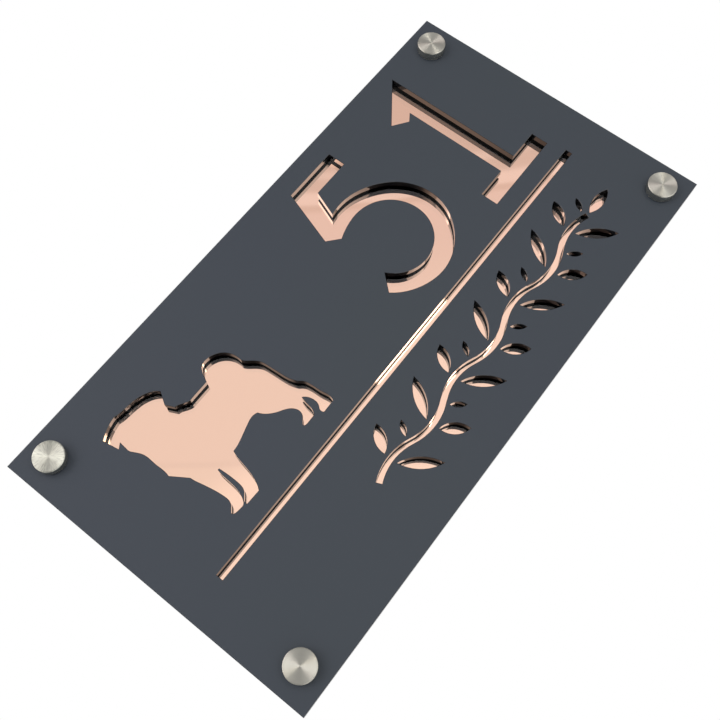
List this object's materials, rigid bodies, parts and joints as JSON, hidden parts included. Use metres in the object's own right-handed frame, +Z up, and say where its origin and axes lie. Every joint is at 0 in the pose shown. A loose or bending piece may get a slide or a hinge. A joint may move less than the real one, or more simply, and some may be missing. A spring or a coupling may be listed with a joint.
{
  "type": "house number plaque",
  "caption": "Wall plaque of a satin dark sheet with fretwork cut through it over a rose mirror sheet, clamped near its corners by round standoffs.",
  "frame": {"origin": "centre of the four wall screw holes, on the wall plane that the barrels stand on", "axes": "+X to the right as the plaque is read, +Z up, +Y into the wall, so that it is read from -Y"},
  "size_m": [0.28, 0.031, 0.15],
  "materials": {
    "front_acrylic": "satin anthracite cast acrylic, laser cut",
    "mirror_acrylic": "rose gold acrylic mirror, silvered on its back",
    "cap_steel": "turned and brushed stainless steel",
    "barrel_steel": "turned stainless steel",
    "washer_nylon": "clear nylon"
  },
  "bodies": {
    "root": {"front_sheet": "front_acrylic", "mirror_sheet": "mirror_acrylic", "caps": "cap_steel", "front_washers": "washer_nylon", "rear_washers": "washer_nylon", "barrels": "barrel_steel"}
  },
  "joints": []
}
